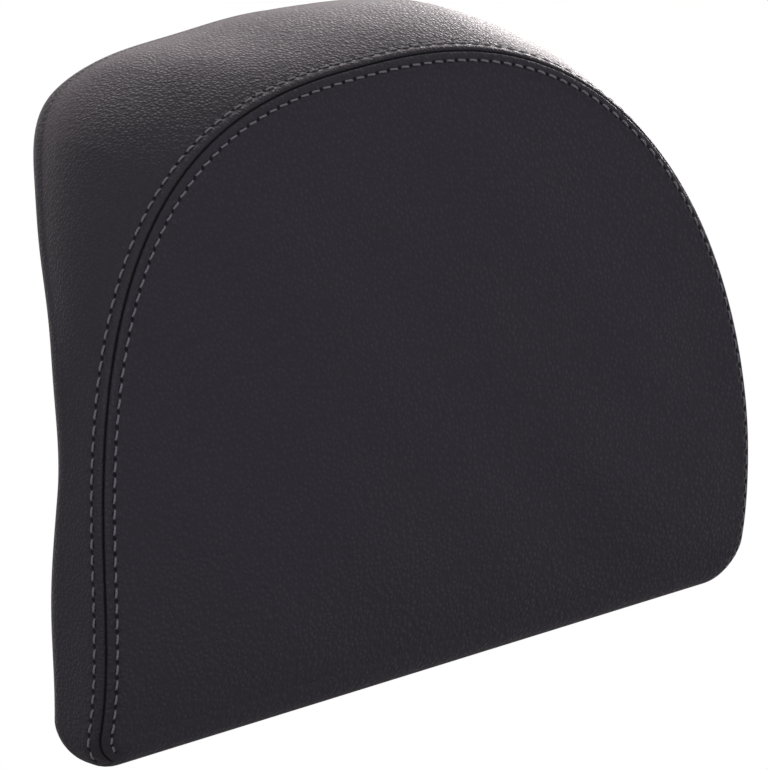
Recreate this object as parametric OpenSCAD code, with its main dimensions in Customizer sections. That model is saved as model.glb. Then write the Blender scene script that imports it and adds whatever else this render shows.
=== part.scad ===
// Chair headrest attachment: a padded leather headrest on a friction hinge, a short height slide and a
// bolt-on plate. Millimetres, +Z up, the face towards -Y, the sitter's left towards +X.
// Pad shapes are worked out from the foot of the front seam, then moved so that the centre of the mounting
// holes, on the plate's back face, is the origin.

/* [Pad outline] */
// Half width of the pad
pad_half_w = 144; // [120:0.5:150]
// Height of the arched top above the foot of the front seam
pad_top_z = 191.5; // [180:0.5:200]
// Height of the flat bottom edge, below the foot of the seam
pad_bottom_z = -6; // [-10:0.5:-3]
// Height where the straight sides turn into the arch
side_top_z = 33; // [30:0.5:60]
// Squareness of the arch, 2 is an ellipse
arch_power = 2.54; // [2:0.02:3]
// Radius of the two bottom corners
corner_r = 14; // [12:0.5:18]

/* [Pad depth] */
// How far the face leans back over the pad's height
face_lean = 34; // [20:0.5:36]
// How far the face bows, top and bottom against the middle
face_bow = 10.4; // [4:0.1:12]
// How far the face crowns in the middle
face_crown = 4; // [0:0.5:6]
// How far the face turns back at its lower edge
chin_depth = 8; // [4:0.5:10]
// Depth of the flat lower back
back_y = 21; // [20:0.5:24]
// Height where the hollow back starts to sweep rearwards
sweep_z = 80; // [74:1:88]
// Rate of the sweep, depth per height squared
sweep_rate = 0.00875; // [0.007:0.00025:0.0095]
// Furthest depth of the thick top
top_depth_y = 101; // [96:1:106]
// Bulge of the band at the thick top
band_crown = 7.5; // [0:0.5:8]

/* [Layers] */
// Thickness of the leather
leather_t = 1.3; // [1:0.1:1.5]
// Depth of the foam under the pad's surface
foam_under = 2; // [2:0.1:2.5]
// Thickness of the soft foam under the face
comfort_t = 12; // [8:0.5:12]
// Thickness of the carrier shell
shell_t = 5; // [4:0.5:5]
// Thickness of the rear cover
cover_t = 2.2; // [1.8:0.1:3]

/* [Hinge] */
// Height of the hinge axis above the foot of the seam
hinge_z = 45; // [42:0.5:48]
// Distance from the bracket's plate to the hinge axis
hinge_reach = 12.6; // [12.5:0.1:14]
// Diameter of the hinge pin
pin_d = 8; // [6:1:8]
// Thickness of the hinge bracket's steel
bracket_t = 3; // [2.5:0.5:3]

/* [Slide and mount] */
// Width of the rail
rail_w = 32; // [28:1:34]
// Thickness of the rail
rail_t = 5; // [4:0.5:5]
// Length of the rail
rail_len = 120; // [110:1:122]
// Height of the carriage sleeve
sleeve_h = 38; // [34:1:40]
// Width of the mounting plate
plate_w = 90; // [84:1:100]
// Height of the mounting plate
plate_h = 68; // [64:1:72]
// Thickness of the mounting plate
plate_t = 4; // [3:0.5:5]
// Distance between the mounting holes, across
hole_dx = 68; // [60:1:72]
// Distance between the mounting holes, up and down
hole_dz = 48; // [44:1:50]
// Diameter of the mounting holes
hole_d = 6.6; // [5.5:0.1:7]

/* [Hidden] */

$fn = 48;
gap = 0.05;
seam_h = 190;
pad_mid_z = 95;
chin_z = 60;
foam_crown = 1.8;
face_offset = 2.5;
edge_r = 7;
bottom_edge_r = 12;
bottom_edge_z = 8;
bottom_edge_fade = 14;
deepest_y = 140;
band_thin = 30;
band_thick = 75;
cap_z = 178;
cap_rate = 0.05;
blend_soft = 3;

// Depths of the stack on the flat lower back, and of the slide behind it
shell_inset = 6.8;
shell_z = 8.5;
shell_under = 2.2;
foam_gap = 1;
cover_inset = 22;
cover_proud = 0.7;
cover_y = back_y + cover_proud + cover_t;
shell_back_y = back_y - shell_under;
shell_front_y = shell_back_y - shell_t;
bracket_y = cover_y + bracket_t;
hinge_y = bracket_y + hinge_reach;
pin_r = pin_d / 2;
ear_r = 11;
ear_x = 20;
knuckle_r = 9;
knuckle_x = 18.4;
bush_r = pin_r + 1.5;
bush_flange_r = pin_r + 3.5;
bush_flange_t = 1;
sleeve_front_y = hinge_y + ear_r + 1.5;
wall_t = 3.5;
liner_t = 1.95;
slot_front_y = sleeve_front_y + wall_t;
rail_y = slot_front_y + liner_t + gap;
slot_back_y = rail_y + rail_t + gap + liner_t;
sleeve_back_y = slot_back_y + wall_t;
slot_half_x = rail_w / 2 + liner_t + gap;
sleeve_half_x = slot_half_x + 6;
sleeve_z = 24;
spacer_t = 8;
plate_y = rail_y + rail_t + spacer_t;
mount_y = plate_y + plate_t;
mount_z = 10;
rail_z = -20;

// Fasteners
cover_screw_x = 76;
cover_screw_z = [34, 70];
bracket_screw_x = 33;
bracket_screw_dz = 13;
boss_r = 6;
m5_r = 2.5;
m6_r = 3;

// ---- Pad surface ----------------------------------------------------------------------------------

// Every outline point is [x, z, inward x, inward z]. The list starts low on one bottom corner, goes up that
// side, over the arch, down the other side, and ends along the bottom.
band_arc = [-60, -45, -30, -15, 0];
under_arc = [-90, -77, -64];
side_steps = [0.35, 0.7];
arch_step = 6;
bottom_steps = [-0.75, -0.45, -0.15, 0.15, 0.45, 0.75];

function sgn_pow(v, p) = sign(v) * pow(abs(v), p);

function corner_at(side, a) =
    [side * (pad_half_w - corner_r + corner_r * cos(a)), pad_bottom_z + corner_r + corner_r * sin(a),
     -side * cos(a), -sin(a)];

function side_at(side, f) =
    [side * pad_half_w, lerp(pad_bottom_z + corner_r, side_top_z, f), -side, 0];

function arch_at(a) =
    let(h = pad_top_z - side_top_z,
        x = pad_half_w * sgn_pow(cos(a), 2 / arch_power),
        z = h * sgn_pow(sin(a), 2 / arch_power),
        nx = -sgn_pow(x / pad_half_w, arch_power - 1) / pad_half_w,
        nz = -sgn_pow(z / h, arch_power - 1) / h,
        n = norm([nx, nz]))
    [x, side_top_z + z, nx / n, nz / n];

function lerp(a, b, f) = a + (b - a) * f;
function limit(v, lo, hi) = min(max(v, lo), hi);

band_line = concat(
    [for (a = band_arc) corner_at(1, a)],
    [for (f = side_steps) side_at(1, f)],
    [for (a = [0 : arch_step : 180]) arch_at(a)],
    [for (i = [len(side_steps) - 1 : -1 : 0]) side_at(-1, side_steps[i])],
    [for (i = [len(band_arc) - 1 : -1 : 0]) corner_at(-1, band_arc[i])]);
under_line = concat(
    [for (i = [len(under_arc) - 1 : -1 : 0]) corner_at(-1, under_arc[i])],
    [for (f = bottom_steps) [f * (pad_half_w - corner_r), pad_bottom_z, 0, 1]],
    [for (a = under_arc) corner_at(1, a)]);
outline = concat(band_line, under_line);
band_n = len(band_line);

// Face depth at height z: a straight lean, a bow, and a chin that turns back below chin_z
function face_y(z) =
    let(u = z / seam_h,
        k = limit(1 - z / chin_z, 0, 1),
        chin = chin_depth * (1 - sqrt(1 - k * k)))
    face_lean * (u - 0.5) + 4 * face_bow * pow(u - 0.5, 2) - face_offset + chin;

// Back depth at height z: flat, then a parabola rearwards, softly capped at the thick top
function back_at(z) =
    let(sweep = back_y + sweep_rate * pow(max(z - sweep_z, 0), 2),
        cap = top_depth_y - cap_rate * pow(max(z - cap_z, 0), 2))
    back_y - blend_soft * ln(exp((back_y - sweep) / blend_soft) + exp((back_y - cap) / blend_soft));

function slope_len(d) = sqrt(1 + d * d);
function face_slope(z) = face_y(z + 0.5) - face_y(z - 0.5);
function back_slope(z) = back_at(z + 0.5) - back_at(z - 0.5);
function face_under(z, t) = face_y(z) + t * slope_len(face_slope(z));
function back_under(z, t) = back_at(z) - t * slope_len(back_slope(z));

// Radius of the pad's edges: larger along the bottom
function edge_at(p) = lerp(edge_r, bottom_edge_r, limit((bottom_edge_z - p[1]) / bottom_edge_fade, 0, 1));

function toward_middle(x, z, k) = [k * x, pad_mid_z + k * (z - pad_mid_z)];

// Point of the pad's surface, t under it, on the section through outline point p. s runs 0 to 1 across the
// face, 1 to 2 round the front edge, 2 to 3 across the band, 3 to 4 round the back edge, 4 to 5 over the back.
function pad_point(p, s, t) =
    let(r = edge_at(p),
        fx = p[0] + p[2] * r,
        fz = p[1] + p[3] * r,
        y_front = face_y(fz) + r,
        y_back = back_at(fz) - r,
        thick = back_at(p[1]) - face_y(p[1]),
        bulge = band_crown * limit((thick - band_thin) / (band_thick - band_thin), 0, 1))
    s <= 1 ? let(q = toward_middle(fx, fz, s)) [q[0], face_under(q[1], t) - face_crown * (1 - s * s), q[1]] :
    s <= 2 ? let(a = (s - 1) * 90) [fx - p[2] * (r - t) * sin(a), y_front - (r - t) * cos(a),
                                    fz - p[3] * (r - t) * sin(a)] :
    s <= 3 ? let(f = s - 2, out = bulge * 4 * f * (1 - f) - t)
             [p[0] - p[2] * out, lerp(y_front, y_back, f), p[1] - p[3] * out] :
    s <= 4 ? let(a = (s - 3) * 90) [fx - p[2] * (r - t) * cos(a), y_back + (r - t) * sin(a),
                                    fz - p[3] * (r - t) * cos(a)] :
    let(q = toward_middle(fx, fz, 5 - s)) [q[0], back_under(q[1], t), q[1]];

// Two triangles between corners taken in order
function quad(a, b, c, d) = [[a, b, c], [a, c, d]];

// Solid between consecutive closed loops of equal length. Its ends close on the two points given, or, with
// none, each loop is a thin section that goes out along one side and back along the other.
module loft(loops, ends = []) {
    n = len(loops[0]);
    rows = len(loops);
    thin = len(ends) == 0;
    function end_cap(o, apex) = thin ?
        [for (i = [0 : n / 2 - 2], f = quad(o + i, o + n - 1 - i, o + n - 2 - i, o + i + 1)) f] :
        [for (j = [0 : n - 1]) [apex, o + (j + 1) % n, o + j]];
    function flipped(faces) = [for (f = faces) [f[2], f[1], f[0]]];
    sides = [for (i = [0 : rows - 2], j = [0 : n - 1],
                  f = quad(i * n + j, i * n + (j + 1) % n, (i + 1) * n + (j + 1) % n, (i + 1) * n + j)) f];
    polyhedron(concat([for (l = loops, p = l) p], ends),
               concat(sides, end_cap(0, rows * n), flipped(end_cap((rows - 1) * n, rows * n + 1))));
}

// Tube of the given radius along a path that lies on the pad at section place s
module thread(s, r) {
    sides = 6;
    turn = 360 / sides;
    sunk = -r - 0.03;
    mids = [for (p = band_line) pad_point(p, s, sunk)];
    ins = [for (p = band_line) unit(pad_point(p, s, 1) - pad_point(p, s, 0))];
    n = len(mids);
    loft([for (i = [0 : n - 1])
        let(run = unit(mids[min(i + 1, n - 1)] - mids[max(i - 1, 0)]), across = unit(cross(ins[i], run)))
        [for (k = [0 : sides - 1]) mids[i] + r * (cos(k * turn) * ins[i] + sin(k * turn) * across)]],
        [mids[0], mids[n - 1]]);
}

function unit(v) = v / norm(v);

// Outline moved in by d, as [x, z] points
function outline_in(d) =
    let(r = max(corner_r - d, 3), x = pad_half_w - d - r, z = pad_bottom_z + d + r)
    concat([for (a = [-90 : 15 : 0]) [x + r * cos(a), z + r * sin(a)]],
           [for (a = [0 : arch_step : 180]) let(p = arch_at(a)) [p[0] + p[2] * d, p[1] + p[3] * d]],
           [for (a = [180 : 15 : 270]) [-x + r * cos(a), z + r * sin(a)]]);

// Block of that outline, from y0 to y1
module outline_block(d, y0, y1) {
    translate([0, y1, 0])
        rotate([90, 0, 0])
            linear_extrude(y1 - y0)
                polygon(outline_in(d));
}

// Sheet that follows the back, from depth t0 to depth t1 under it
module back_sheet(t0, t1) {
    step = 4;
    spare = 8;
    levels = [for (z = [pad_bottom_z - spare : step : pad_top_z + spare]) z];
    half = pad_half_w + spare;
    rotate([90, 0, 90])
        translate([0, 0, -half])
            linear_extrude(2 * half)
                polygon(concat([for (z = levels) [back_under(z, t0), z]],
                               [for (i = [len(levels) - 1 : -1 : 0])
                                   [back_under(levels[i], t1), levels[i]]]));
}

// Cylinder along +Y from y0 to y1
module along_y(x, z, r, y0, y1, sides = $fn) {
    translate([x, y1, z])
        rotate([90, 0, 0])
            cylinder(r = r, h = y1 - y0, $fn = sides);
}

// Cylinder along +X on the hinge axis from x0 to x1
module along_x(r, x0, x1, sides = $fn) {
    translate([x0, hinge_y, hinge_z])
        rotate([0, 90, 0])
            cylinder(r = r, h = x1 - x0, $fn = sides);
}

// Cuboid between two opposite corners
module block(lo, hi) {
    translate(lo)
        cube(hi - lo);
}

// Everything is drawn from the foot of the seam and moved here to the mounting face
module in_place() {
    translate([0, -mount_y, -mount_z])
        children();
}

// ---- Leather and its seam --------------------------------------------------------------------------

seam_s = 1.55;
seam_half = 0.012;
side_lip_s = 4.3;
under_lip_s = 4.15;
face_steps = [0.3, 0.55, 0.78, 0.92];
front_edge_steps = [1, 1.2, 1.38];
past_seam_s = 1.78;
band_steps = [2, 2.25, 2.5, 2.75, 3];
back_edge_steps = [3.35, 3.7, 4];

// One skin: the face up to the seam, and a flap that goes on round the bottom edge to the back
module front_panel() {
    main_s = concat(face_steps, front_edge_steps, seam_s - seam_half);
    flap_s = concat(past_seam_s, band_steps, back_edge_steps, under_lip_s);
    n = len(outline);
    m = n - band_n;
    rows = len(main_s);
    flap_rows = len(flap_s);
    main_points = [for (t = [0, leather_t], s = main_s, p = outline) pad_point(p, s, t)];
    flap_points = [for (t = [0, leather_t], s = flap_s, p = under_line) pad_point(p, s, t)];
    middle_points = [for (t = [0, leather_t]) pad_point(outline[0], 0, t)];
    middle_at = 2 * (rows * n + flap_rows * m);
    function main_at(layer, i, j) = (layer * rows + i) * n + j % n;
    function flap_at(layer, i, c) =
        i < 0 ? main_at(layer, rows - 1, band_n + c) : 2 * rows * n + (layer * flap_rows + i) * m + c;
    face_skins = [for (i = [0 : rows - 2], j = [0 : n - 1],
        f = concat(quad(main_at(0, i, j), main_at(0, i, j + 1),
                        main_at(0, i + 1, j + 1), main_at(0, i + 1, j)),
                   quad(main_at(1, i + 1, j), main_at(1, i + 1, j + 1),
                        main_at(1, i, j + 1), main_at(1, i, j)))) f];
    middles = [for (j = [0 : n - 1], f = [[middle_at, main_at(0, 0, j + 1), main_at(0, 0, j)],
                                          [middle_at + 1, main_at(1, 0, j), main_at(1, 0, j + 1)]]) f];
    seam_edge = [for (j = [-1 : band_n - 1], i = [rows - 1],
        f = quad(main_at(0, i, (j + n) % n), main_at(0, i, j + 1), main_at(1, i, j + 1),
                 main_at(1, i, (j + n) % n))) f];
    flap_skins = [for (i = [-1 : flap_rows - 2], c = [0 : m - 2],
        f = concat(quad(flap_at(0, i, c), flap_at(0, i, c + 1),
                        flap_at(0, i + 1, c + 1), flap_at(0, i + 1, c)),
                   quad(flap_at(1, i + 1, c), flap_at(1, i + 1, c + 1),
                        flap_at(1, i, c + 1), flap_at(1, i, c)))) f];
    flap_edge = [for (c = [0 : m - 2], i = [flap_rows - 1],
        f = quad(flap_at(0, i, c), flap_at(0, i, c + 1), flap_at(1, i, c + 1), flap_at(1, i, c))) f];
    flap_sides = [for (i = [-1 : flap_rows - 2],
        f = concat(quad(flap_at(0, i, 0), flap_at(0, i + 1, 0), flap_at(1, i + 1, 0), flap_at(1, i, 0)),
                   quad(flap_at(0, i + 1, m - 1), flap_at(0, i, m - 1), flap_at(1, i, m - 1),
                        flap_at(1, i + 1, m - 1)))) f];
    color([0.10, 0.095, 0.105])
        in_place()
            polyhedron(concat(main_points, flap_points, middle_points),
                       concat(face_skins, middles, seam_edge, flap_skins, flap_edge, flap_sides));
}

module side_band() {
    first_s = seam_s + seam_half;
    lip_steps = [4.03, 4.06, 4.1, 4.14, 4.19, 4.24, side_lip_s];
    steps = concat(first_s, past_seam_s, band_steps, back_edge_steps, lip_steps);
    n = len(steps);
    color([0.12, 0.115, 0.125])
        in_place()
            loft([for (p = band_line) concat(
                [for (i = [n - 1 : -1 : 0]) pad_point(p, steps[i], 0)],
                [for (s = steps) pad_point(p, s, leather_t)])]);
}

module seam_tape() {
    half = 0.3;
    top_t = leather_t + 0.12;
    low_t = leather_t + 0.5;
    steps = [seam_s - half, seam_s, seam_s + half];
    color([0.2, 0.2, 0.2])
        in_place()
            loft([for (p = band_line) concat(
                [for (i = [2 : -1 : 0]) pad_point(p, steps[i], top_t)],
                [for (s = steps) pad_point(p, s, low_t)])]);
}

thread_r = 0.35;
front_row_s = 1.25;
band_row_s = 1.86;

module front_stitching() {
    color([0.55, 0.54, 0.56])
        in_place()
            thread(front_row_s, thread_r);
}

module band_stitching() {
    color([0.55, 0.54, 0.56])
        in_place()
            thread(band_row_s, thread_r);
}

// ---- Foam ------------------------------------------------------------------------------------------

module comfort_foam() {
    back_t = foam_under + comfort_t;
    function rear_at(z, k) = face_y(z) + back_t - foam_crown * (1 - k * k);
    function ring(s) = [for (p = outline) pad_point(p, s, foam_under)];
    function back_ring(k) = [for (p = outline)
        let(e = pad_point(p, 2, foam_under), q = toward_middle(e[0], e[2], k),
            y_most = pad_point(p, 3, foam_under)[1])
        [q[0], min(rear_at(q[1], k), lerp(top_depth_y, y_most, k)), q[1]]];
    color([0.85, 0.83, 0.72])
        in_place()
            loft(concat([for (s = concat(face_steps, front_edge_steps, seam_s, past_seam_s, 2)) ring(s)],
                        [for (k = [1, 0.92, 0.84, 0.7, 0.5, 0.3]) back_ring(k)]),
                 [pad_point(outline[0], 0, foam_under), [0, rear_at(pad_mid_z, 0), pad_mid_z]]);
}

module core_foam() {
    front_t = foam_under + comfort_t + foam_gap;
    back_t = shell_under + shell_t + 1;
    least = 0.5;
    bottom_under = 8;
    function under(p) = foam_under + bottom_under * max(p[3], 0);
    function front_at(z, k) = face_y(z) + front_t - foam_crown * (1 - k * k);
    function rear_at(z, k) = max(back_under(z, back_t), front_at(z, k) + 3 * least);
    function front_ring(k) = [for (p = outline)
        let(e = pad_point(p, 2, under(p)), q = toward_middle(e[0], e[2], k))
        [q[0], front_at(q[1], k), q[1]]];
    function edge_ring(s) = [for (p = outline)
        let(e = pad_point(p, s, under(p)), y_low = front_at(e[2], 1) + least * (s - 1))
        [e[0], max(min(e[1], back_under(e[2], back_t)), y_low), e[2]]];
    function back_ring(k) = [for (p = outline)
        let(e = pad_point(p, 4, under(p)), q = toward_middle(e[0], e[2], k))
        [q[0], rear_at(q[1], k), q[1]]];
    color([0.78, 0.76, 0.70])
        in_place()
            loft(concat([for (k = [0.3, 0.5, 0.7, 0.84, 0.92, 1]) front_ring(k)],
                        [for (s = concat(band_steps, back_edge_steps)) edge_ring(s)],
                        [for (k = [0.97, 0.94, 0.9, 0.86, 0.8, 0.7, 0.6, 0.48, 0.35, 0.2]) back_ring(k)]),
                 [[0, front_at(pad_mid_z, 0), pad_mid_z], [0, rear_at(pad_mid_z, 0), pad_mid_z]]);
}

// ---- Carrier shell, nuts and staples ---------------------------------------------------------------

nut_barrel_r = 3.4;
nut_flange_r = 8;
nut_flange_t = 1.2;

module bracket_spots() {
    for (x = [-bracket_screw_x, bracket_screw_x], dz = [-bracket_screw_dz, bracket_screw_dz])
        translate([x, 0, hinge_z + dz])
            children();
}

module cover_spots() {
    for (x = [-cover_screw_x, cover_screw_x], z = cover_screw_z)
        translate([x, 0, z])
            children();
}

cover_screw_r = 1.9;

module carrier_shell() {
    color([0.72, 0.55, 0.36])
        in_place()
            difference() {
                intersection() {
                    outline_block(shell_inset, 0, deepest_y);
                    back_sheet(shell_under, shell_under + shell_t);
                    block([-pad_half_w, 0, shell_z], [pad_half_w, deepest_y, pad_top_z]);
                }
                bracket_spots() {
                    along_y(0, 0, nut_barrel_r + gap, shell_front_y - 1, shell_back_y + 1);
                    along_y(0, 0, nut_flange_r + gap, shell_front_y - 1,
                            shell_front_y + nut_flange_t + gap);
                }
                cover_spots()
                    along_y(0, 0, cover_screw_r + gap, shell_front_y - 1, shell_back_y + 1);
            }
}

module tee_nuts() {
    color([0.7, 0.7, 0.68])
        in_place()
            bracket_spots()
                difference() {
                    union() {
                        along_y(0, 0, nut_barrel_r, shell_front_y + 0.1, shell_back_y - 0.1);
                        along_y(0, 0, nut_flange_r, shell_front_y, shell_front_y + nut_flange_t);
                    }
                    along_y(0, 0, m5_r + gap, shell_front_y - 1, shell_back_y + 1);
                }
}

module staples() {
    crown_w = 10;
    wire = 1;
    crown_h = 0.5;
    leg = 5;
    inset = 28;
    under_z = 15.5;
    side_spots = [for (i = [len(band_arc) : 2 : band_n - len(band_arc) - 1]) let(p = band_line[i])
        [p[0] + p[2] * inset, p[1] + p[3] * inset, atan2(-p[2], p[3])]];
    under_spots = [for (x = [-75 : 25 : 75]) [x, under_z, 0]];
    color([0.75, 0.75, 0.76])
        in_place()
            for (p = concat(side_spots, under_spots))
                translate([p[0], back_at(p[1]), p[1]])
                    rotate([-atan(back_slope(p[1])), 0, 0])
                        rotate([0, p[2], 0]) {
                            block([-crown_w / 2, 0.02, -wire / 2], [crown_w / 2, crown_h, wire / 2]);
                            for (s = [-1, 1])
                                translate([s * (crown_w - wire) / 2, 0, 0])
                                    block([-wire / 2, -leg, -wire / 2], [wire / 2, 0.1, wire / 2]);
                        }
}

// ---- Rear cover ------------------------------------------------------------------------------------

module rear_cover() {
    head_r = 3.8;
    color([0.07, 0.07, 0.075])
        in_place()
            difference() {
                union() {
                    intersection() {
                        outline_block(cover_inset, 0, deepest_y);
                        back_sheet(-cover_proud - cover_t, -cover_proud);
                    }
                    bracket_spots()
                        along_y(0, 0, boss_r, shell_back_y + gap, cover_y - 1);
                    cover_spots()
                        along_y(0, 0, boss_r, shell_back_y + gap, cover_y - 1);
                }
                bracket_spots()
                    along_y(0, 0, m5_r + 0.3, shell_back_y - 1, cover_y + 1);
                cover_spots() {
                    along_y(0, 0, cover_screw_r + 0.3, shell_back_y - 1, cover_y + 1);
                    along_y(0, 0, head_r, cover_y - 1.2, cover_y + 1);
                }
            }
}

module cover_screws() {
    head_r = 3.6;
    color([0.15, 0.15, 0.16])
        in_place()
            cover_spots()
                difference() {
                    union() {
                        along_y(0, 0, cover_screw_r, shell_front_y + 0.5, cover_y - 1);
                        along_y(0, 0, head_r, cover_y - 1.2 + gap, cover_y + 0.6);
                    }
                    block([-2, cover_y - 0.6, -0.4], [2, cover_y + 1, 0.4]);
                    block([-0.4, cover_y - 0.6, -2], [0.4, cover_y + 1, 2]);
                }
}

// ---- Hinge on the pad ------------------------------------------------------------------------------

module hinge_bracket() {
    plate_half_x = 42;
    plate_half_z = 20;
    color([0.12, 0.12, 0.13])
        in_place()
            difference() {
                union() {
                    block([-plate_half_x, cover_y, hinge_z - plate_half_z],
                          [plate_half_x, bracket_y, hinge_z + plate_half_z]);
                    for (x0 = [-ear_x - bracket_t, ear_x]) {
                        along_x(ear_r, x0, x0 + bracket_t);
                        block([x0, bracket_y - 1, hinge_z - ear_r], [x0 + bracket_t, hinge_y, hinge_z + ear_r]);
                    }
                }
                along_x(bush_r, -ear_x - bracket_t - 1, -ear_x + 1);
                along_x(bush_r, ear_x - 1, ear_x + bracket_t + 1);
                bracket_spots()
                    along_y(0, 0, m5_r + 0.3, cover_y - 1, bracket_y + 1);
            }
}

module bracket_screws() {
    head_r = 4.75;
    head_h = 2.75;
    color([0.45, 0.45, 0.47])
        in_place()
            bracket_spots()
                difference() {
                    union() {
                        along_y(0, 0, m5_r, shell_front_y + 0.3, bracket_y + 1);
                        along_y(0, 0, head_r, bracket_y, bracket_y + head_h);
                    }
                    along_y(0, 0, 1.7, bracket_y + 0.8, bracket_y + head_h + 1, 6);
                }
}

module hinge_bushes() {
    color([0.85, 0.84, 0.80])
        in_place()
            for (s = [0, 1])
                mirror([s, 0, 0])
                    difference() {
                        union() {
                            along_x(bush_r - 0.01, ear_x, ear_x + bracket_t);
                            along_x(bush_flange_r, ear_x + bracket_t, ear_x + bracket_t + bush_flange_t);
                        }
                        along_x(pin_r + gap, ear_x - 1, ear_x + bracket_t + bush_flange_t + 1);
                    }
}

// ---- Carriage --------------------------------------------------------------------------------------

set_screw_dz = 10;

module carriage() {
    edge = 3;
    color([0.09, 0.09, 0.095])
        in_place()
            difference() {
                union() {
                    along_x(knuckle_r, -knuckle_x, knuckle_x);
                    block([-knuckle_x, hinge_y, hinge_z - knuckle_r],
                          [knuckle_x, sleeve_front_y + 1, hinge_z + knuckle_r]);
                    translate([0, 0, sleeve_z])
                        linear_extrude(sleeve_h)
                            polygon([[-sleeve_half_x + edge, sleeve_front_y],
                                     [sleeve_half_x - edge, sleeve_front_y],
                                     [sleeve_half_x, sleeve_front_y + edge],
                                     [sleeve_half_x, sleeve_back_y - edge],
                                     [sleeve_half_x - edge, sleeve_back_y],
                                     [-sleeve_half_x + edge, sleeve_back_y],
                                     [-sleeve_half_x, sleeve_back_y - edge],
                                     [-sleeve_half_x, sleeve_front_y + edge]]);
                }
                along_x(pin_r + 0.02, -knuckle_x - 1, knuckle_x + 1);
                block([-slot_half_x, slot_front_y, sleeve_z - 1],
                      [slot_half_x, slot_back_y, sleeve_z + sleeve_h + 1]);
                for (dz = [-set_screw_dz, set_screw_dz])
                    along_y(0, sleeve_z + sleeve_h / 2 + dz, m5_r + gap, slot_back_y - 1, sleeve_back_y + 1);
            }
}

module glide_liners() {
    lip = 2.4;
    clear = 0.02;
    z0 = sleeve_z + 1;
    z1 = sleeve_z + sleeve_h - 1;
    x_out = slot_half_x - clear;
    x_in = rail_w / 2 + gap;
    color([0.9, 0.9, 0.87])
        in_place()
            for (side = [0, 1])
                translate([0, side * (slot_front_y + slot_back_y), 0])
                    mirror([0, side, 0]) {
                        block([-x_out, slot_front_y + clear, z0], [x_out, slot_front_y + liner_t, z1]);
                        for (x0 = [-x_out, x_in])
                            block([x0, slot_front_y + liner_t - 0.1, z0],
                                  [x0 + x_out - x_in, slot_front_y + liner_t + lip, z1]);
                    }
}

module preload_screws() {
    color([0.3, 0.3, 0.32])
        in_place()
            for (dz = [-set_screw_dz, set_screw_dz])
                translate([0, 0, sleeve_z + sleeve_h / 2 + dz])
                    difference() {
                        along_y(0, 0, m5_r, slot_back_y + 0.02, sleeve_back_y);
                        along_y(0, 0, 1.5, sleeve_back_y - 2, sleeve_back_y + 1, 6);
                    }
}

washer_out_x = ear_x - gap;
head_x = ear_x + bracket_t + bush_flange_t + gap;

module hinge_pin() {
    head_r = 7;
    head_h = 4;
    pin_end = head_x + 7;
    color([0.75, 0.75, 0.77])
        in_place()
            difference() {
                union() {
                    along_x(pin_r, -head_x - 1, pin_end);
                    along_x(head_r, -head_x - head_h, -head_x);
                }
                along_x(2.6, -head_x - head_h - 1, -head_x - head_h + 2.5, 6);
            }
}

module friction_washers() {
    color([0.6, 0.48, 0.25])
        in_place()
            for (s = [0, 1])
                mirror([s, 0, 0])
                    difference() {
                        along_x(knuckle_r - 0.5, knuckle_x, washer_out_x);
                        along_x(pin_r + gap, knuckle_x - 1, washer_out_x + 1);
                    }
}

module lock_nut() {
    nut_r = 7.4;
    nut_h = 5;
    color([0.72, 0.72, 0.74])
        in_place()
            difference() {
                union() {
                    along_x(nut_r, head_x, head_x + nut_h, 6);
                    along_x(pin_r + 1.6, head_x + nut_h - 0.5, head_x + nut_h + 1.4);
                }
                along_x(pin_r + 0.02, head_x - 1, head_x + nut_h + 3);
            }
}

// ---- Mount -----------------------------------------------------------------------------------------

rail_screw_z = [-10, 12];
countersink_r = 6;
countersink_h = 3;

module mounting_plate() {
    round_r = 8;
    z0 = mount_z - plate_h / 2;
    color([0.11, 0.11, 0.12])
        in_place()
            difference() {
                union() {
                    block([-plate_w / 2 + round_r, plate_y, z0],
                          [plate_w / 2 - round_r, mount_y, z0 + plate_h]);
                    block([-plate_w / 2, plate_y, z0 + round_r],
                          [plate_w / 2, mount_y, z0 + plate_h - round_r]);
                    for (x = [-1, 1], z = [-1, 1])
                        along_y(x * (plate_w / 2 - round_r), mount_z + z * (plate_h / 2 - round_r), round_r,
                                plate_y, mount_y);
                }
                for (x = [-1, 1], z = [-1, 1])
                    along_y(x * hole_dx / 2, mount_z + z * hole_dz / 2, hole_d / 2, plate_y - 1, mount_y + 1);
                for (z = rail_screw_z)
                    along_y(0, z, m6_r + gap, plate_y - 1, mount_y + 1);
            }
}

module rail() {
    chamfer = 0.8;
    x = rail_w / 2;
    color([0.62, 0.62, 0.64])
        in_place()
            difference() {
                translate([0, rail_y, rail_z])
                    linear_extrude(rail_len)
                        polygon([[-x + chamfer, 0], [x - chamfer, 0], [x, chamfer], [x, rail_t - chamfer],
                                 [x - chamfer, rail_t], [-x + chamfer, rail_t], [-x, rail_t - chamfer],
                                 [-x, chamfer]]);
                for (z = rail_screw_z) {
                    along_y(0, z, m6_r + 0.3, rail_y - 1, rail_y + rail_t + 1);
                    along_y(0, z, countersink_r + 0.2, rail_y - 1, rail_y + countersink_h);
                }
            }
}

module rail_spacer() {
    half_x = 14;
    top_z = 22;
    color([0.35, 0.35, 0.37])
        in_place()
            difference() {
                block([-half_x, rail_y + rail_t, rail_z], [half_x, plate_y, top_z]);
                for (z = rail_screw_z)
                    along_y(0, z, m6_r + 0.3, rail_y, plate_y + 1);
            }
}

module rail_screws() {
    color([0.4, 0.4, 0.42])
        in_place()
            for (z = rail_screw_z)
                difference() {
                    union() {
                        along_y(0, z, m6_r, rail_y + 0.3, mount_y - 0.5);
                        along_y(0, z, countersink_r, rail_y + 0.3, rail_y + countersink_h);
                    }
                    along_y(0, z, 2.3, rail_y, rail_y + 2, 6);
                }
}

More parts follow.
